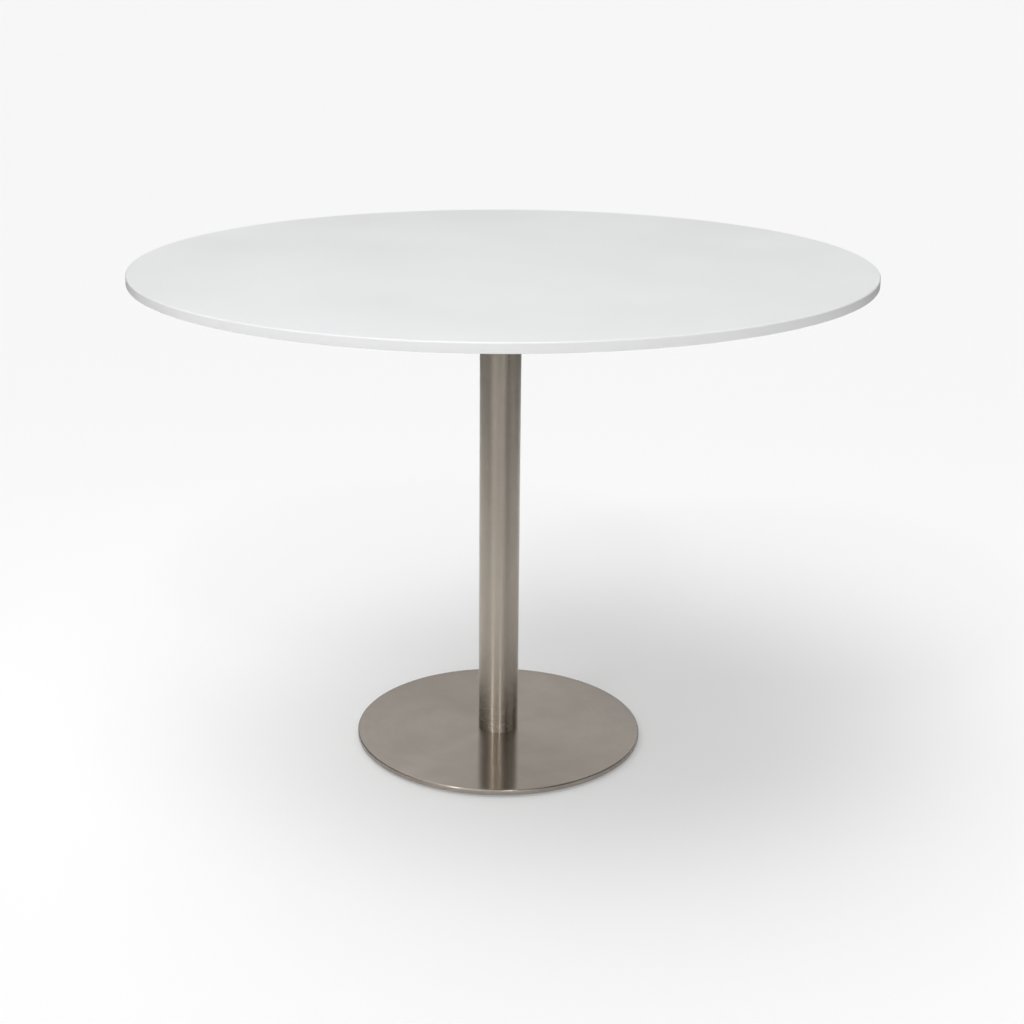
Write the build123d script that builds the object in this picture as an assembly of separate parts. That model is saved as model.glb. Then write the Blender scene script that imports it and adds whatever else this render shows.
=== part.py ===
from build123d import *
import os

# Round bistro table: a laminated top on a cast spider, a stainless column and a flat disc
# base that stands on four adjustable glides.
# Millimetres, +Z up. The origin is on the floor, on the column's centre line. Front is -Y.

# ---------------------------------------------------------------- driving dimensions
TABLE_HEIGHT = 735.0
TOP_DIAMETER = 1050.0
TOP_THICKNESS = 13.6
COLUMN_DIAMETER = 60.3
COLUMN_WALL = 1.5
BASE_DIAMETER = 435.0
RIM_ABOVE_FLOOR = 4.5
RIM_HEIGHT = 8.5

# Top board
LAMINATE = 0.8
EDGE_BAND = 2.0
EDGE_ROUND = 1.9
INSERT_RADIUS = 5.0
INSERT_LENGTH = 10.0
INSERT_SOCKET = 7.0
INSERT_SOCKET_DEPTH = 3.0

# Spider under the top
SPIDER_PLATE = 5.0
SPIDER_SPAN = 440.0
ARM_WIDTH = 50.0
ARM_INNER_ROUND = 42.0
FLANGE_THICKNESS = 4.0
FLANGE_DEPTH_AT_HUB = 21.0
FLANGE_DEPTH_AT_TIP = 6.0
FLANGE_LEVEL_RADIUS = 55.0
ARM_HOLE_RADII = (115.0, 196.0)
ARM_ANGLES = (0.0, 90.0, 180.0, 270.0)

# Plugs welded in the two ends of the tube
PLUG_LENGTH = 18.0
PLUG_BORE_RADIUS = 7.0
PLUG_SCREW_CIRCLE = 36.0
BOSS_RADIUS = 25.0
BOSS_GAP = 0.2

# Base
COVER_SHEET = 0.8
COVER_ROUND = 2.5
COVER_LOWER_ROUND = 1.5
COVER_LIP = 6.0
PLATE_GAP = 0.1
PLATE_EDGE_ROUND = 2.0
PLATE_EDGE_CHAMFER = 0.8

# Glides
GLIDE_CIRCLE = 370.0
PAD_RADIUS = 12.0
PAD_HEIGHT = 4.0
PAD_FLOOR = 1.4
PAD_LOWER_CHAMFER = 0.6
PAD_UPPER_ROUND = 1.4
PAD_HEAD_RADIUS = 7.0
PAD_HEAD_HEIGHT = 1.2
SPANNER_SIZE = 13.0
SPANNER_HEIGHT = 1.1
STUD_TOP_GAP = 0.2
GLIDE_ANGLES = {
    "back_right": 45.0,
    "back_left": 135.0,
    "front_left": 225.0,
    "front_right": 315.0,
}

# Fasteners
M6_RADIUS = 3.0
M8_RADIUS = 4.0
THREAD_GAP = 0.05
FIT_GAP = 0.05
M6_CLEARANCE_RADIUS = 3.5
M8_CLEARANCE_RADIUS = 4.5
M6_LENGTH = 14.0
M6_HEAD_RADIUS = 5.25
M6_HEAD_HEIGHT = 3.3
M6_HEAD_ROUND = 2.3
M6_SOCKET = 4.0
M6_WASHER_RADIUS = 7.0
M6_WASHER_THICKNESS = 1.6
M8_LENGTH = 20.0
M8_HEAD_RADIUS = 8.0
M8_HEAD_LAND = 0.3
M8_SOCKET = 5.0
COUNTERSINK_GAP = 0.1
SOCKET_DEPTH = 2.2

# ---------------------------------------------------------------- heights and radii that follow
BOARD_BOTTOM = TABLE_HEIGHT - TOP_THICKNESS
SPIDER_BOTTOM = BOARD_BOTTOM - SPIDER_PLATE
COVER_TOP = RIM_ABOVE_FLOOR + RIM_HEIGHT
PLATE_TOP = COVER_TOP - COVER_SHEET
PLATE_BOTTOM = RIM_ABOVE_FLOOR + COVER_SHEET + PLATE_GAP
TOP_RADIUS = TOP_DIAMETER / 2
BOARD_RADIUS = TOP_RADIUS - EDGE_BAND
BASE_RADIUS = BASE_DIAMETER / 2
TUBE_RADIUS = COLUMN_DIAMETER / 2
TUBE_INNER_RADIUS = TUBE_RADIUS - COLUMN_WALL
PLUG_RADIUS = TUBE_INNER_RADIUS - FIT_GAP
COVER_INNER_RADIUS = BASE_RADIUS - COVER_SHEET
M6_SHANK_RADIUS = M6_RADIUS - THREAD_GAP
M8_SHANK_RADIUS = M8_RADIUS - THREAD_GAP

STANDING = (Align.CENTER, Align.CENTER, Align.MIN)


# ---------------------------------------------------------------- shared shapes
def disc(radius, bottom, top):
    """A disc about the table's centre line, between two heights."""
    return Pos(0, 0, bottom) * Cylinder(radius, top - bottom, align=STANDING)


def hexagon(across_flats, bottom, top):
    """A hexagonal prism about the Z axis, between two heights."""
    outline = RegularPolygon(across_flats / 2, 6, major_radius=False)
    return Pos(0, 0, bottom) * extrude(outline, top - bottom)


def group(pieces):
    """Separate solids that share one node."""
    return Compound(children=[piece.solid() for piece in pieces])


def circular_edges(shape, radius, height):
    """The full-circle edges of one radius at one height."""
    return [
        edge
        for edge in shape.edges().filter_by(GeomType.CIRCLE)
        if abs(edge.radius - radius) < 1e-3 and abs(edge.center().Z - height) < 1e-3
    ]


def arm_hole_places():
    """Where the eight screws stand on the spider's arms, at height zero."""
    return [Rot(0, 0, angle) * Pos(radius, 0, 0) for angle in ARM_ANGLES for radius in ARM_HOLE_RADII]


def plug_screw_places():
    """Where the four screws of each plug stand, at height zero, between the arms."""
    return list(PolarLocations(PLUG_SCREW_CIRCLE / 2, 4, start_angle=45))


def countersink(gap):
    """The 90 degree seat of an M8 screw whose head is flush at height zero, opening upwards."""
    seat_radius = M8_HEAD_RADIUS + gap
    land = Pos(0, 0, -M8_HEAD_LAND) * Cylinder(seat_radius, M8_HEAD_LAND, align=STANDING)
    slope = seat_radius - M8_SHANK_RADIUS
    cone = Pos(0, 0, -M8_HEAD_LAND - slope) * Cone(M8_SHANK_RADIUS, seat_radius, slope, align=STANDING)
    return land + cone


def countersunk_screw():
    """M8 countersunk socket screw, head flush at height zero and shank downwards."""
    shank = Pos(0, 0, -M8_LENGTH) * Cylinder(M8_SHANK_RADIUS, M8_LENGTH - M8_HEAD_LAND, align=STANDING)
    return countersink(0) + shank - hexagon(M8_SOCKET, -SOCKET_DEPTH, 0)


def button_screw():
    """M6 button-head socket screw, shank upwards from height zero and head below it."""
    shank = Cylinder(M6_SHANK_RADIUS, M6_LENGTH, align=STANDING)
    head = Pos(0, 0, -M6_HEAD_HEIGHT) * Cylinder(M6_HEAD_RADIUS, M6_HEAD_HEIGHT, align=STANDING)
    head = fillet(circular_edges(head, M6_HEAD_RADIUS, -M6_HEAD_HEIGHT), M6_HEAD_ROUND)
    return head + shank - hexagon(M6_SOCKET, -M6_HEAD_HEIGHT, SOCKET_DEPTH - M6_HEAD_HEIGHT)


# ---------------------------------------------------------------- top
def top_face_laminate():
    return disc(BOARD_RADIUS, TABLE_HEIGHT - LAMINATE, TABLE_HEIGHT)


def top_core_board():
    """Board between the laminates, with a blind hole for each insert."""
    board = disc(BOARD_RADIUS, BOARD_BOTTOM + LAMINATE, TABLE_HEIGHT - LAMINATE)
    hole = disc(INSERT_RADIUS, BOARD_BOTTOM, BOARD_BOTTOM + INSERT_LENGTH + FIT_GAP)
    return board - [place * hole for place in arm_hole_places()]


def top_backing_laminate():
    sheet = disc(BOARD_RADIUS, BOARD_BOTTOM, BOARD_BOTTOM + LAMINATE)
    hole = disc(INSERT_RADIUS, BOARD_BOTTOM, BOARD_BOTTOM + LAMINATE)
    return sheet - [place * hole for place in arm_hole_places()]


def top_edge_band():
    """Band round the board, its two outer corners rounded over the whole band."""
    blank = disc(TOP_RADIUS, BOARD_BOTTOM, TABLE_HEIGHT)
    corners = circular_edges(blank, TOP_RADIUS, BOARD_BOTTOM)
    corners += circular_edges(blank, TOP_RADIUS, TABLE_HEIGHT)
    return fillet(corners, EDGE_ROUND) - disc(BOARD_RADIUS, BOARD_BOTTOM, TABLE_HEIGHT)


def threaded_inserts():
    """Inserts flush with the underside of the top, with a hexagon socket at the mouth."""
    insert = disc(INSERT_RADIUS - FIT_GAP, BOARD_BOTTOM, BOARD_BOTTOM + INSERT_LENGTH)
    insert -= disc(M6_RADIUS, BOARD_BOTTOM, BOARD_BOTTOM + INSERT_LENGTH)
    insert -= hexagon(INSERT_SOCKET, BOARD_BOTTOM, BOARD_BOTTOM + INSERT_SOCKET_DEPTH)
    return group(place * insert for place in arm_hole_places())


# ---------------------------------------------------------------- spider and its fasteners
def spider_outline():
    """Cross of two round-ended arms, its four inner corners swept round."""
    arms = SlotOverall(SPIDER_SPAN, ARM_WIDTH) + SlotOverall(SPIDER_SPAN, ARM_WIDTH, rotation=90)
    half_width = ARM_WIDTH / 2
    inner_corners = [
        corner
        for corner in arms.vertices()
        if abs(abs(corner.X) - half_width) < 1e-3 and abs(abs(corner.Y) - half_width) < 1e-3
    ]
    return fillet(inner_corners, ARM_INNER_ROUND)


def flange_envelope():
    """Solid of revolution that cuts the edge flange shallower towards the arm tips."""
    reach = SPIDER_SPAN / 2 + 1
    profile = Polyline(
        (0, BOARD_BOTTOM),
        (0, SPIDER_BOTTOM - FLANGE_DEPTH_AT_HUB),
        (FLANGE_LEVEL_RADIUS, SPIDER_BOTTOM - FLANGE_DEPTH_AT_HUB),
        (reach, SPIDER_BOTTOM - FLANGE_DEPTH_AT_TIP),
        (reach, BOARD_BOTTOM),
        close=True,
    )
    return revolve(Plane.XZ * make_face(profile), Axis.Z)


def top_spider():
    """Cast cross: a flat web under the board, and a flange all round its edge."""
    outline = spider_outline()
    flange_outline = outline - offset(outline, -FLANGE_THICKNESS)
    web = Pos(0, 0, SPIDER_BOTTOM) * extrude(outline, SPIDER_PLATE)
    flange_bottom = SPIDER_BOTTOM - FLANGE_DEPTH_AT_HUB
    flange = Pos(0, 0, flange_bottom) * extrude(flange_outline, BOARD_BOTTOM - flange_bottom)
    spider = web + (flange & flange_envelope())
    for place in arm_hole_places():
        spider -= place * disc(M6_CLEARANCE_RADIUS, SPIDER_BOTTOM, BOARD_BOTTOM)
    for place in plug_screw_places():
        spider -= place * disc(M8_CLEARANCE_RADIUS, SPIDER_BOTTOM, BOARD_BOTTOM)
        spider -= place * Pos(0, 0, BOARD_BOTTOM) * countersink(COUNTERSINK_GAP)
    return spider - disc(PLUG_BORE_RADIUS, SPIDER_BOTTOM, BOARD_BOTTOM)


def top_screws():
    under_head = SPIDER_BOTTOM - M6_WASHER_THICKNESS
    return group(place * Pos(0, 0, under_head) * button_screw() for place in arm_hole_places())


def top_screw_washers():
    washer_bottom = SPIDER_BOTTOM - M6_WASHER_THICKNESS
    washer = disc(M6_WASHER_RADIUS, washer_bottom, SPIDER_BOTTOM)
    washer -= disc(M6_CLEARANCE_RADIUS, washer_bottom, SPIDER_BOTTOM)
    return group(place * washer for place in arm_hole_places())


def spider_screws():
    return group(place * Pos(0, 0, BOARD_BOTTOM) * countersunk_screw() for place in plug_screw_places())


# ---------------------------------------------------------------- column
def tapped_plug(bottom, top):
    """Plug that fills the tube, with a central bore and four tapped holes."""
    plug = disc(PLUG_RADIUS, bottom, top) - disc(PLUG_BORE_RADIUS, bottom, top)
    return plug - [place * disc(M8_RADIUS, bottom, top) for place in plug_screw_places()]


def head_plug():
    return tapped_plug(SPIDER_BOTTOM - PLUG_LENGTH, SPIDER_BOTTOM)


def column_tube():
    return disc(TUBE_RADIUS, COVER_TOP, SPIDER_BOTTOM) - disc(TUBE_INNER_RADIUS, COVER_TOP, SPIDER_BOTTOM)


def foot_plug():
    """Plug in the foot, whose boss goes through the cover and stands on the weight plate."""
    plug = tapped_plug(PLATE_TOP, COVER_TOP + PLUG_LENGTH)
    beside_boss = disc(TUBE_RADIUS, PLATE_TOP, COVER_TOP) - disc(BOSS_RADIUS, PLATE_TOP, COVER_TOP)
    return plug - beside_boss


def base_screws():
    upside_down = Pos(0, 0, PLATE_BOTTOM) * Rot(180, 0, 0)
    return group(place * upside_down * countersunk_screw() for place in plug_screw_places())


# ---------------------------------------------------------------- base
def base_cover():
    """Spun sheet: flat top, low rounded rim, and a lip rolled under the weight plate."""
    cover = disc(BASE_RADIUS, RIM_ABOVE_FLOOR, COVER_TOP)
    cover = fillet(circular_edges(cover, BASE_RADIUS, COVER_TOP), COVER_ROUND)
    cover = fillet(circular_edges(cover, BASE_RADIUS, RIM_ABOVE_FLOOR), COVER_LOWER_ROUND)
    inside_bottom = RIM_ABOVE_FLOOR + COVER_SHEET
    inside = disc(COVER_INNER_RADIUS, inside_bottom, PLATE_TOP)
    inside = fillet(circular_edges(inside, COVER_INNER_RADIUS, PLATE_TOP), COVER_ROUND - COVER_SHEET)
    inside = fillet(
        circular_edges(inside, COVER_INNER_RADIUS, inside_bottom),
        COVER_LOWER_ROUND - COVER_SHEET,
    )
    mouth = disc(BASE_RADIUS - COVER_LIP, RIM_ABOVE_FLOOR, inside_bottom)
    centring_hole = disc(BOSS_RADIUS + BOSS_GAP, PLATE_TOP, COVER_TOP)
    return cover - inside - mouth - centring_hole


def base_weight_plate():
    """Ballast disc with countersunk centre holes and four tapped glide holes."""
    radius = COVER_INNER_RADIUS - PLATE_GAP
    plate = disc(radius, PLATE_BOTTOM, PLATE_TOP)
    plate = fillet(circular_edges(plate, radius, PLATE_TOP), PLATE_EDGE_ROUND)
    plate = chamfer(circular_edges(plate, radius, PLATE_BOTTOM), PLATE_EDGE_CHAMFER)
    seat = Pos(0, 0, PLATE_BOTTOM) * Rot(180, 0, 0) * countersink(COUNTERSINK_GAP)
    for place in plug_screw_places():
        plate -= place * disc(M8_CLEARANCE_RADIUS, PLATE_BOTTOM, PLATE_TOP)
        plate -= place * seat
    for angle in GLIDE_ANGLES.values():
        plate -= glide_place(angle) * disc(M8_RADIUS, PLATE_BOTTOM, PLATE_TOP)
    return plate


# ---------------------------------------------------------------- glides
def glide_place(angle):
    """The place of one glide on its circle, at height zero."""
    return Rot(0, 0, angle) * Pos(GLIDE_CIRCLE / 2, 0, 0)


def glide_pad(angle):
    """Nylon pad moulded round the flat head of its stud, which turns inside it."""
    pad = disc(PAD_RADIUS, 0, PAD_HEIGHT)
    pad = chamfer(circular_edges(pad, PAD_RADIUS, 0), PAD_LOWER_CHAMFER)
    pad = fillet(circular_edges(pad, PAD_RADIUS, PAD_HEIGHT), PAD_UPPER_ROUND)
    pocket_top = PAD_FLOOR + PAD_HEAD_HEIGHT + 2 * FIT_GAP
    pad -= disc(PAD_HEAD_RADIUS + FIT_GAP, PAD_FLOOR, pocket_top)
    pad -= disc(M8_SHANK_RADIUS + FIT_GAP, pocket_top, PAD_HEIGHT)
    return glide_place(angle) * pad


def glide_stud(angle):
    """Stud with a flat head in the pad, a thin spanner hexagon and a threaded shank."""
    head_bottom = PAD_FLOOR + FIT_GAP
    spanner_bottom = PAD_HEIGHT + 2 * FIT_GAP
    stud = disc(PAD_HEAD_RADIUS, head_bottom, head_bottom + PAD_HEAD_HEIGHT)
    stud += disc(M8_SHANK_RADIUS, head_bottom, PLATE_TOP - STUD_TOP_GAP)
    stud += hexagon(SPANNER_SIZE, spanner_bottom, spanner_bottom + SPANNER_HEIGHT)
    return glide_place(angle) * stud


# ---------------------------------------------------------------- every node by name
NODES = {
    "top_face_laminate": top_face_laminate(),
    "top_core_board": top_core_board(),
    "top_backing_laminate": top_backing_laminate(),
    "top_edge_band": top_edge_band(),
    "threaded_inserts": threaded_inserts(),
    "top_spider": top_spider(),
    "top_screws": top_screws(),
    "top_screw_washers": top_screw_washers(),
    "spider_screws": spider_screws(),
    "head_plug": head_plug(),
    "column_tube": column_tube(),
    "foot_plug": foot_plug(),
    "base_screws": base_screws(),
    "base_cover": base_cover(),
    "base_weight_plate": base_weight_plate(),
}
for corner, angle in GLIDE_ANGLES.items():
    NODES["glide_pad_" + corner] = glide_pad(angle)
    NODES["glide_stud_" + corner] = glide_stud(angle)

os.makedirs("parts", exist_ok=True)
for name, shape in NODES.items():
    export_step(shape, "parts/" + name + ".step")
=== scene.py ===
import math

import bmesh
import bpy
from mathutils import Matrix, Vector


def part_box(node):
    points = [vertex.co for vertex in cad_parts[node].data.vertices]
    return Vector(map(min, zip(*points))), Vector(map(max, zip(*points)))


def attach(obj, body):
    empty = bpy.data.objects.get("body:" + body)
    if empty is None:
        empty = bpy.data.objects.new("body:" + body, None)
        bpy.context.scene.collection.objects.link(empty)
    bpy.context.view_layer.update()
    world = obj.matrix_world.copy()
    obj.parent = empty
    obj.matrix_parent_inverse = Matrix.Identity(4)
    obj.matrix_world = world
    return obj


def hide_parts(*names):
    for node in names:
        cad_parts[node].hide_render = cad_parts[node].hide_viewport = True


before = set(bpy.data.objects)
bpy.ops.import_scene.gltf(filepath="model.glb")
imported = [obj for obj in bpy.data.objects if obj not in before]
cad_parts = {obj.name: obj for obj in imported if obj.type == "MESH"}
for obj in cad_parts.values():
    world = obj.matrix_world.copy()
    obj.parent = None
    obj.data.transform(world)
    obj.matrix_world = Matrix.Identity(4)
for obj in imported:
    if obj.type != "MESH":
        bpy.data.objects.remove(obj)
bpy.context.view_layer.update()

# Everything is in metres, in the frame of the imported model: +Z up, front at -Y.
# Angles are in degrees, apart from the camera's.

# Fineness of the round pieces, and the angle from which an edge between two faces stays sharp
ROUND_STEPS = 384
ARC_STEPS = 10
SHARP_ANGLE = 35

# Lengths of the made pieces that the boxes don't give
EDGE_ROUND = 0.0019
JOINT_CHAMFER = 0.00012
TUBE_WALL = 0.0015
TUBE_CHAMFER = 0.0002
COVER_SHEET = 0.0008
COVER_ROUND = 0.0025
COVER_LOWER_ROUND = 0.0015
COVER_LIP = 0.006
COVER_HOLE = 0.0252

# Softened edges of the casting, after its vertices closer than the gap are joined
CASTING_ROUND = 0.0012
CASTING_ROUND_STEPS = 3
CASTING_SHARP_ANGLE = 40
WELD_GAP = 0.00001

# Rings that divide the flat faces of the top and of the base cover, as shares of the radius
TOP_RINGS = (0.9, 0.6, 0.3)
COVER_RINGS = (0.3, 0.5, 0.7, 0.85)

# Faint smudges on the steel, as repeats per metre
SMUDGES = 22.0

# Camera, with its turns in radians, its lens and sensor in millimetres and its shift in frame widths
CAMERA_PLACE = (0.0, -2.3703, 1.1440)
CAMERA_YAW = 0.0218
CAMERA_PITCH = 0.3191
CAMERA_LENS = 58.85
CAMERA_SENSOR = 36.0
CAMERA_SHIFT = 0.046

# Floor and backdrop
FLOOR_RADIUS = 80.0
FLOOR_SIDES = 96
FLOOR_WHITE = 0.65
FLOOR_GLOW = 0.3
BACKDROP_WHITE = 0.95
SHEET_WHITE = 0.95
# Steel sees the floor as an oval white sheet that reaches further behind the table and fades out at its
# edge. Its lengths are measured with X stretched, which makes the sheet narrower from left to right.
SHEET_STRETCH = (1.2, 1.0, 1.0)
SHEET_CENTRE = (-0.1, 0.8, 0.0)
SHEET_FULL = 1.85
SHEET_END = 2.1

# Studio light comes from azimuths, counted from the front towards +X, and elevations.
# Soft lobes of sky: azimuth, elevation, radiance
SKY_LOBES = (
    (-30, 0, 2.0),
    (12, 0, 1.95),
    (75, 0, 0.85),
    (-90, 0, 0.35),
    (-50, 70, 3.5),
    (-150, 70, 1.75),
    (-165, 30, 0.7),
    (150, 30, 0.7),
)
LOBE_SHARPNESS = 12
# Lamp above the front of the top, with its power in watts
OVERHEAD_PLACE = (-0.1, -0.9, 2.4)
OVERHEAD_SIZE = 0.8
OVERHEAD_POWER = 6.0
# Compact softboxes: name, azimuth, elevation, angular size, strength
SOFTBOXES = (
    ("left_softbox", -38, 41.5, 8, 0.22),
    ("front_softbox", 10, 41.5, 7, 0.16),
)


# ---------------------------------------------------------------- shapes
def arc(centre, radius, start, end):
    """Points of an arc in the (radius, height) plane."""
    points = []
    for step in range(ARC_STEPS + 1):
        angle = math.radians(start + (end - start) * step / ARC_STEPS)
        points.append((centre[0] + radius * math.cos(angle), centre[1] + radius * math.sin(angle)))
    return points


def lathe(name, outline):
    """Closed mesh of revolution about Z from a closed outline of (radius, height) points."""
    work = bmesh.new()
    turns = [2 * math.pi * step / ROUND_STEPS for step in range(ROUND_STEPS)]
    circle = [(math.cos(turn), math.sin(turn)) for turn in turns]
    rings = []
    for radius, height in outline:
        if radius == 0:
            rings.append([work.verts.new((0, 0, height))])
        else:
            rings.append([work.verts.new((radius * x, radius * y, height)) for x, y in circle])
    for here, after in zip(rings, rings[1:] + rings[:1]):
        if len(here) == 1 and len(after) == 1:
            continue
        for step in range(ROUND_STEPS):
            following = (step + 1) % ROUND_STEPS
            if len(here) == 1:
                work.faces.new((here[0], after[step], after[following]))
            elif len(after) == 1:
                work.faces.new((here[step], after[0], here[following]))
            else:
                work.faces.new((here[step], after[step], after[following], here[following]))
    bmesh.ops.recalc_face_normals(work, faces=work.faces)
    mesh = bpy.data.meshes.new(name)
    work.to_mesh(mesh)
    work.free()
    mesh.shade_smooth()
    mesh.set_sharp_from_angle(angle=math.radians(SHARP_ANGLE))
    piece = bpy.data.objects.new(name, mesh)
    bpy.context.collection.objects.link(piece)
    return piece


def reach(node):
    """Outer radius, lowest and highest height of a CAD node that is round about Z."""
    low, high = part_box(node)
    return max(high.x, high.y, -low.x, -low.y), low.z, high.z


# ---------------------------------------------------------------- material helpers
def new_material(name, **inputs):
    """A material, its node tree and its shader, with constants set on the shader's sockets."""
    material = bpy.data.materials.new(name)
    material.use_nodes = True
    tree = material.node_tree
    shader = tree.nodes["Principled BSDF"]
    for socket, value in inputs.items():
        shader.inputs[socket.replace("_", " ")].default_value = value
    return material, tree, shader


def math_node(tree, operation, first, second):
    """A maths node on two sockets or numbers."""
    node = tree.nodes.new("ShaderNodeMath")
    node.operation = operation
    for socket, value in zip(node.inputs, (first, second)):
        if isinstance(value, (int, float)):
            socket.default_value = value
        else:
            tree.links.new(value, socket)
    return node.outputs[0]


def scaled_place(tree, scale):
    """Object coordinates scaled along each axis."""
    place = tree.nodes.new("ShaderNodeTexCoord")
    mapping = tree.nodes.new("ShaderNodeMapping")
    mapping.inputs["Scale"].default_value = scale
    tree.links.new(place.outputs["Object"], mapping.inputs["Vector"])
    return mapping.outputs["Vector"]


def even_place(tree, scale):
    """Object coordinates scaled alike along the three axes."""
    return scaled_place(tree, (scale, scale, scale))


def ring_place(tree, across, along):
    """Coordinates that run fast across the circles about Z and slowly along them."""
    place = tree.nodes.new("ShaderNodeTexCoord")
    split = tree.nodes.new("ShaderNodeSeparateXYZ")
    tree.links.new(place.outputs["Object"], split.inputs[0])
    flat = tree.nodes.new("ShaderNodeCombineXYZ")
    tree.links.new(split.outputs["X"], flat.inputs["X"])
    tree.links.new(split.outputs["Y"], flat.inputs["Y"])
    length = tree.nodes.new("ShaderNodeVectorMath")
    length.operation = "LENGTH"
    tree.links.new(flat.outputs[0], length.inputs[0])
    joined = tree.nodes.new("ShaderNodeCombineXYZ")
    tree.links.new(math_node(tree, "MULTIPLY", length.outputs["Value"], across), joined.inputs["X"])
    tree.links.new(math_node(tree, "MULTIPLY", split.outputs["X"], along), joined.inputs["Y"])
    tree.links.new(math_node(tree, "MULTIPLY", split.outputs["Y"], along), joined.inputs["Z"])
    return joined.outputs[0]


def noise(tree, place, detail=4.0):
    """A noise texture's value at coordinates, about one blot per unit of them."""
    node = tree.nodes.new("ShaderNodeTexNoise")
    node.inputs["Scale"].default_value = 1.0
    node.inputs["Detail"].default_value = detail
    node.inputs["Roughness"].default_value = 0.55
    tree.links.new(place, node.inputs["Vector"])
    return node.outputs["Fac"]


def span(tree, value, low, high, from_low=0.3, from_high=0.7):
    """A noise value stretched to a range."""
    node = tree.nodes.new("ShaderNodeMapRange")
    node.inputs["From Min"].default_value = from_low
    node.inputs["From Max"].default_value = from_high
    node.inputs["To Min"].default_value = low
    node.inputs["To Max"].default_value = high
    tree.links.new(value, node.inputs["Value"])
    return node.outputs["Result"]


def blend_colours(tree, factor, first, second):
    """A colour between two colours, by a factor socket."""
    node = tree.nodes.new("ShaderNodeMix")
    node.data_type = "RGBA"
    node.inputs["A"].default_value = (*first, 1)
    node.inputs["B"].default_value = (*second, 1)
    tree.links.new(factor, node.inputs["Factor"])
    return node.outputs["Result"]


def bump(tree, shader, height, distance, strength):
    """A bump from a height socket, with its distance in metres at full strength."""
    node = tree.nodes.new("ShaderNodeBump")
    node.inputs["Strength"].default_value = strength
    node.inputs["Distance"].default_value = distance
    tree.links.new(height, node.inputs["Height"])
    tree.links.new(node.outputs["Normal"], shader.inputs["Normal"])


# ---------------------------------------------------------------- materials
def brushed_steel(name, dark, light, roughness, place, fine_place):
    """Stainless steel brushed in circles about Z, so that highlights stretch across the circles."""
    material, tree, shader = new_material(name, Metallic=1.0, Anisotropic=1.0, Anisotropic_Rotation=0.25)
    tangent = tree.nodes.new("ShaderNodeTangent")
    tangent.direction_type = "RADIAL"
    tangent.axis = "Z"
    tree.links.new(tangent.outputs[0], shader.inputs["Tangent"])
    streaks = noise(tree, place(tree), detail=5.0)
    smudges = noise(tree, even_place(tree, SMUDGES))
    fine = noise(tree, fine_place(tree), detail=3.0)
    tone = math_node(tree, "ADD", span(tree, streaks, 0, 0.5), span(tree, smudges, 0, 0.5, 0.4, 0.6))
    tree.links.new(blend_colours(tree, tone, dark, light), shader.inputs["Base Color"])
    tree.links.new(span(tree, fine, roughness - 0.005, roughness + 0.005), shader.inputs["Roughness"])
    bump(tree, shader, fine, distance=0.000001, strength=0.3)
    return material


def disc_steel():
    """Steel of the base cover, with its streaks in rings."""
    return brushed_steel(
        "brushed_disc",
        dark=(0.411, 0.365, 0.322),
        light=(0.457, 0.407, 0.359),
        roughness=0.22,
        place=lambda tree: ring_place(tree, 900.0, 3.0),
        fine_place=lambda tree: ring_place(tree, 6000.0, 12.0),
    )


def column_steel():
    """Steel of the tube, with its streaks round the tube."""
    return brushed_steel(
        "brushed_column",
        dark=(0.469, 0.418, 0.355),
        light=(0.505, 0.450, 0.384),
        roughness=0.27,
        place=lambda tree: scaled_place(tree, (40.0, 40.0, 900.0)),
        fine_place=lambda tree: scaled_place(tree, (60.0, 60.0, 6000.0)),
    )


def white_laminate(name, dark, light, roughness):
    """Melamine surface: a fine matt pebble and faint cloudy differences in gloss."""
    material, tree, shader = new_material(name)
    clouds = noise(tree, even_place(tree, 5.0), detail=3.0)
    pebble = noise(tree, even_place(tree, 900.0), detail=2.0)
    tree.links.new(blend_colours(tree, span(tree, clouds, 0, 1), dark, light), shader.inputs["Base Color"])
    tree.links.new(span(tree, clouds, roughness - 0.03, roughness + 0.03), shader.inputs["Roughness"])
    bump(tree, shader, pebble, distance=0.00002, strength=0.25)
    return material


def dark_coating(name, tone, roughness, pebble_size, depth):
    """Nearly black coating with an orange-peel surface of pebbles of a given size."""
    material, tree, shader = new_material(name)
    peel = noise(tree, even_place(tree, 1 / pebble_size), detail=2.0)
    dust = noise(tree, even_place(tree, 30.0), detail=5.0)
    dark = (tone * 0.65, tone * 0.65, tone * 0.7)
    light = (tone * 1.35, tone * 1.35, tone * 1.4)
    colour = blend_colours(tree, span(tree, dust, 0, 1), dark, light)
    tree.links.new(colour, shader.inputs["Base Color"])
    tree.links.new(span(tree, dust, roughness - 0.06, roughness + 0.06), shader.inputs["Roughness"])
    bump(tree, shader, peel, distance=depth, strength=0.6)
    return material


def plated_steel(name, dark, light, roughness):
    """Plated or turned steel, a little uneven in tone."""
    material, tree, shader = new_material(name, Metallic=1.0)
    patches = noise(tree, even_place(tree, 150.0))
    grain = noise(tree, even_place(tree, 2500.0), detail=2.0)
    tree.links.new(blend_colours(tree, span(tree, patches, 0, 1), dark, light), shader.inputs["Base Color"])
    tree.links.new(span(tree, patches, roughness - 0.05, roughness + 0.05), shader.inputs["Roughness"])
    bump(tree, shader, grain, distance=0.00001, strength=0.3)
    return material


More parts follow.
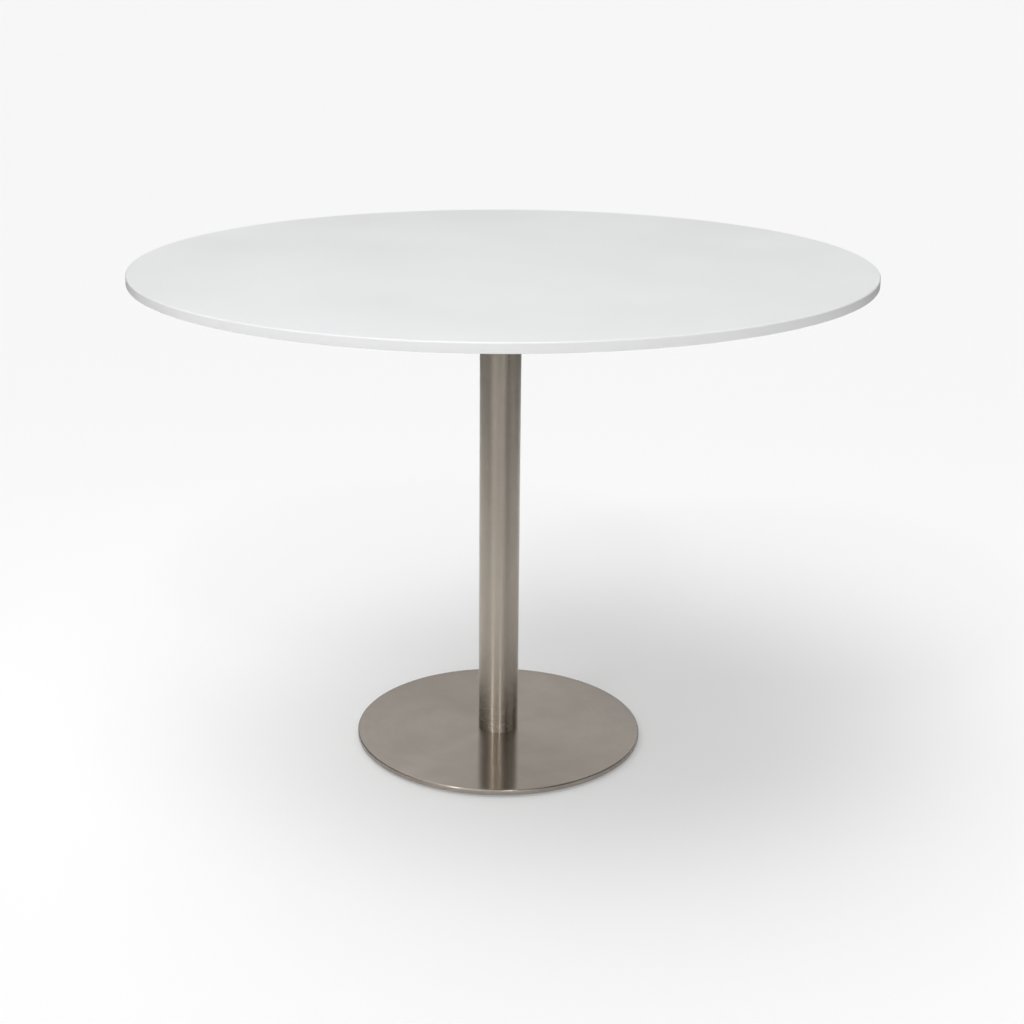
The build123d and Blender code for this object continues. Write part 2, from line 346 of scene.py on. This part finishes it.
def particle_board():
    """Pressed wood chips."""
    material, tree, shader = new_material("particle_board", Roughness=0.85)
    chips = tree.nodes.new("ShaderNodeTexVoronoi")
    chips.inputs["Scale"].default_value = 1.0
    tree.links.new(scaled_place(tree, (420.0, 420.0, 900.0)), chips.inputs["Vector"])
    colour = blend_colours(tree, chips.outputs["Distance"], (0.50, 0.36, 0.21), (0.30, 0.19, 0.10))
    tree.links.new(colour, shader.inputs["Base Color"])
    bump(tree, shader, chips.outputs["Distance"], distance=0.0003, strength=0.5)
    return material


# ---------------------------------------------------------------- pieces
def top_face():
    """Upper laminate, with a hairline chamfer where it meets the edge band."""
    radius, low, high = reach("top_face_laminate")
    outline = [(0, low), (radius, low), (radius, high - JOINT_CHAMFER), (radius - JOINT_CHAMFER, high)]
    outline += [(radius * share, high) for share in TOP_RINGS]
    outline += [(0, high)]
    return lathe("white_top_face", outline)


def edge_band():
    """Band round the board, rounded above and below over nearly its whole thickness."""
    outer, low, high = reach("top_edge_band")
    inner = reach("top_face_laminate")[0]
    centre = outer - EDGE_ROUND
    outline = [(inner, high - JOINT_CHAMFER), (inner, low + JOINT_CHAMFER), (inner + JOINT_CHAMFER, low)]
    outline += arc((centre, low + EDGE_ROUND), EDGE_ROUND, -90, 0)
    outline += arc((centre, high - EDGE_ROUND), EDGE_ROUND, 0, 90)
    outline += [(inner + JOINT_CHAMFER, high)]
    return lathe("white_edge_band", outline)


def column():
    """Brushed tube with its cut ends barely broken."""
    outer, low, high = reach("column_tube")
    inner = outer - TUBE_WALL
    outline = [
        (inner, low),
        (outer - TUBE_CHAMFER, low),
        (outer, low + TUBE_CHAMFER),
        (outer, high - TUBE_CHAMFER),
        (outer - TUBE_CHAMFER, high),
        (inner, high),
    ]
    return lathe("brushed_column_tube", outline)


def disc_cover():
    """Spun base cover: flat top, rounded rim and a lip rolled under the weight plate."""
    outer, low, high = reach("base_cover")
    upper = (outer - COVER_ROUND, high - COVER_ROUND)
    lower = (outer - COVER_LOWER_ROUND, low + COVER_LOWER_ROUND)
    lip = outer - COVER_LIP
    outline = [(COVER_HOLE, high - COVER_SHEET), (COVER_HOLE, high)]
    outline += [(outer * share, high) for share in COVER_RINGS]
    outline += arc(upper, COVER_ROUND, 90, 0)
    outline += arc(lower, COVER_LOWER_ROUND, 0, -90)
    outline += [(lip, low), (lip, low + COVER_SHEET)]
    outline += arc(lower, COVER_LOWER_ROUND - COVER_SHEET, -90, 0)
    outline += arc(upper, COVER_ROUND - COVER_SHEET, 0, 90)
    return lathe("brushed_disc_cover", outline)


def finish_node(node, material):
    """Gives a CAD node its material."""
    for material_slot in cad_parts[node].material_slots:
        material_slot.material = material


def finish_piece(piece, material, node):
    """Gives a made piece its material and puts it in the place of its CAD node."""
    piece.data.materials.append(material)
    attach(piece, "table")
    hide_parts(node)


def round_casting(node):
    """Softens the edges of a casting."""
    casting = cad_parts[node]
    weld = casting.modifiers.new("weld", "WELD")
    weld.merge_threshold = WELD_GAP
    rounding = casting.modifiers.new("rounding", "BEVEL")
    rounding.width = CASTING_ROUND
    rounding.segments = CASTING_ROUND_STEPS
    rounding.limit_method = "ANGLE"
    rounding.angle_limit = math.radians(CASTING_SHARP_ANGLE)


# ---------------------------------------------------------------- studio
def floor_disc(name, material):
    """Round sheet of floor at height zero."""
    mesh = bpy.data.meshes.new(name)
    work = bmesh.new()
    bmesh.ops.create_circle(work, cap_ends=True, segments=FLOOR_SIDES, radius=FLOOR_RADIUS)
    work.to_mesh(mesh)
    work.free()
    mesh.materials.append(material)
    piece = bpy.data.objects.new(name, mesh)
    bpy.context.collection.objects.link(piece)
    return piece


def floor_paper(name):
    """Matt paper, clear from below so that the underside of the table can be seen."""
    material, tree, shader = new_material(name, Roughness=0.9, Specular_IOR_Level=0.0)
    shader.inputs["Base Color"].default_value = (FLOOR_WHITE, FLOOR_WHITE, FLOOR_WHITE, 1)
    clear = tree.nodes.new("ShaderNodeBsdfTransparent")
    side = tree.nodes.new("ShaderNodeNewGeometry")
    mix = tree.nodes.new("ShaderNodeMixShader")
    tree.links.new(side.outputs["Backfacing"], mix.inputs["Fac"])
    tree.links.new(shader.outputs[0], mix.inputs[1])
    tree.links.new(clear.outputs[0], mix.inputs[2])
    tree.links.new(mix.outputs[0], tree.nodes["Material Output"].inputs["Surface"])
    return material, tree, shader


def floor():
    """Pale floor, and a sheet that only reflections see, white near the table and dark beyond."""
    paper, _, shader = floor_paper("floor_paper")
    shader.inputs["Emission Color"].default_value = (1, 1, 1, 1)
    shader.inputs["Emission Strength"].default_value = FLOOR_GLOW
    pale = floor_disc("floor", paper)
    pale.visible_glossy = False
    fading, tree, shader = floor_paper("fading_paper")
    distance = tree.nodes.new("ShaderNodeVectorMath")
    distance.operation = "DISTANCE"
    tree.links.new(scaled_place(tree, SHEET_STRETCH), distance.inputs[0])
    distance.inputs[1].default_value = SHEET_CENTRE
    white = span(tree, distance.outputs["Value"], SHEET_WHITE, 0.0, SHEET_FULL, SHEET_END)
    tree.links.new(white, shader.inputs["Base Color"])
    sheet = floor_disc("floor_in_reflections", fading)
    sheet.visible_camera = False
    sheet.visible_diffuse = False
    sheet.visible_transmission = False
    sheet.visible_shadow = False


def direction(azimuth, elevation):
    """Unit vector towards an azimuth and an elevation."""
    turn = math.radians(azimuth)
    rise = math.radians(elevation)
    return Vector((math.sin(turn) * math.cos(rise), -math.cos(turn) * math.cos(rise), math.sin(rise)))


def softbox(name, azimuth, elevation, size, strength):
    """Distant light of a given angular size."""
    data = bpy.data.lights.new(name, "SUN")
    data.angle = math.radians(size)
    data.energy = strength
    light = bpy.data.objects.new(name, data)
    light.rotation_euler = direction(azimuth, elevation).to_track_quat("Z", "Y").to_euler()
    bpy.context.collection.objects.link(light)


def overhead_light():
    """Soft light above the front of the top."""
    data = bpy.data.lights.new("overhead_light", "AREA")
    data.shape = "DISK"
    data.size = OVERHEAD_SIZE
    data.energy = OVERHEAD_POWER
    light = bpy.data.objects.new("overhead_light", data)
    light.location = OVERHEAD_PLACE
    light.visible_camera = False
    bpy.context.collection.objects.link(light)


def sky():
    """Soft lobes of light, each a power of the cosine from its middle, behind a plain pale backdrop."""
    world = bpy.data.worlds.new("studio")
    bpy.context.scene.world = world
    world.use_nodes = True
    tree = world.node_tree
    place = tree.nodes.new("ShaderNodeTexCoord")
    total = 0.0
    for azimuth, elevation, radiance in SKY_LOBES:
        towards = tree.nodes.new("ShaderNodeVectorMath")
        towards.operation = "DOT_PRODUCT"
        tree.links.new(place.outputs["Generated"], towards.inputs[0])
        towards.inputs[1].default_value = direction(azimuth, elevation)
        lit_side = math_node(tree, "MAXIMUM", towards.outputs["Value"], 0.0)
        lobe = math_node(tree, "MULTIPLY", math_node(tree, "POWER", lit_side, LOBE_SHARPNESS), radiance)
        total = math_node(tree, "ADD", lobe, total)
    lit = tree.nodes["Background"]
    lit.inputs["Color"].default_value = (1.0, 1.0, 1.0, 1)
    tree.links.new(total, lit.inputs["Strength"])
    backdrop = tree.nodes.new("ShaderNodeBackground")
    backdrop.inputs["Color"].default_value = (BACKDROP_WHITE, BACKDROP_WHITE, BACKDROP_WHITE, 1)
    path = tree.nodes.new("ShaderNodeLightPath")
    mix = tree.nodes.new("ShaderNodeMixShader")
    tree.links.new(path.outputs["Is Camera Ray"], mix.inputs["Fac"])
    tree.links.new(lit.outputs[0], mix.inputs[1])
    tree.links.new(backdrop.outputs[0], mix.inputs[2])
    tree.links.new(mix.outputs[0], tree.nodes["World Output"].inputs["Surface"])


def studio():
    """All the light, with colours shown as they are."""
    sky()
    overhead_light()
    for name, *place_and_strength in SOFTBOXES:
        softbox(name, *place_and_strength)
    bpy.context.scene.view_settings.view_transform = "Standard"


def camera():
    """Camera in front of the table, looking down over the top."""
    data = bpy.data.cameras.new("camera")
    data.lens = CAMERA_LENS
    data.sensor_width = CAMERA_SENSOR
    data.shift_x = CAMERA_SHIFT
    view = bpy.data.objects.new("camera", data)
    view.location = CAMERA_PLACE
    view.rotation_euler = (math.pi / 2 - CAMERA_PITCH, 0, CAMERA_YAW)
    bpy.context.collection.objects.link(view)
    bpy.context.scene.camera = view


# ---------------------------------------------------------------- the table
def dress_table():
    """Makes the white and brushed pieces, and gives every other CAD node its material."""
    white_face = white_laminate("white_laminate", (0.765, 0.77, 0.775), (0.79, 0.795, 0.80), roughness=0.38)
    white_band = white_laminate("white_band", (0.775, 0.775, 0.78), (0.80, 0.80, 0.805), roughness=0.30)
    backing = white_laminate("white_backing", (0.62, 0.62, 0.61), (0.66, 0.66, 0.65), roughness=0.5)
    zinc = plated_steel("zinc_plate", (0.52, 0.54, 0.56), (0.66, 0.67, 0.66), roughness=0.28)
    black_oxide = plated_steel("black_oxide", (0.03, 0.03, 0.032), (0.06, 0.06, 0.065), roughness=0.4)
    turned = plated_steel("turned_steel", (0.40, 0.40, 0.40), (0.50, 0.50, 0.49), roughness=0.35)
    powder = dark_coating("black_powder_coat", tone=0.02, roughness=0.5, pebble_size=0.0011, depth=0.00008)
    paint = dark_coating("grey_plate_paint", tone=0.06, roughness=0.42, pebble_size=0.0016, depth=0.00004)
    nylon = dark_coating("black_nylon", tone=0.02, roughness=0.4, pebble_size=0.0007, depth=0.00002)
    finish_piece(top_face(), white_face, "top_face_laminate")
    finish_piece(edge_band(), white_band, "top_edge_band")
    finish_piece(column(), column_steel(), "column_tube")
    finish_piece(disc_cover(), disc_steel(), "base_cover")
    node_finishes = {
        "top_core_board": particle_board(),
        "top_backing_laminate": backing,
        "threaded_inserts": zinc,
        "top_spider": powder,
        "top_screws": zinc,
        "top_screw_washers": zinc,
        "spider_screws": black_oxide,
        "head_plug": turned,
        "foot_plug": turned,
        "base_screws": black_oxide,
        "base_weight_plate": paint,
    }
    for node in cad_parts:
        if node.startswith("glide_pad"):
            node_finishes[node] = nylon
        if node.startswith("glide_stud"):
            node_finishes[node] = zinc
    for node, material in node_finishes.items():
        finish_node(node, material)
    round_casting("top_spider")


dress_table()
floor()
studio()
camera()
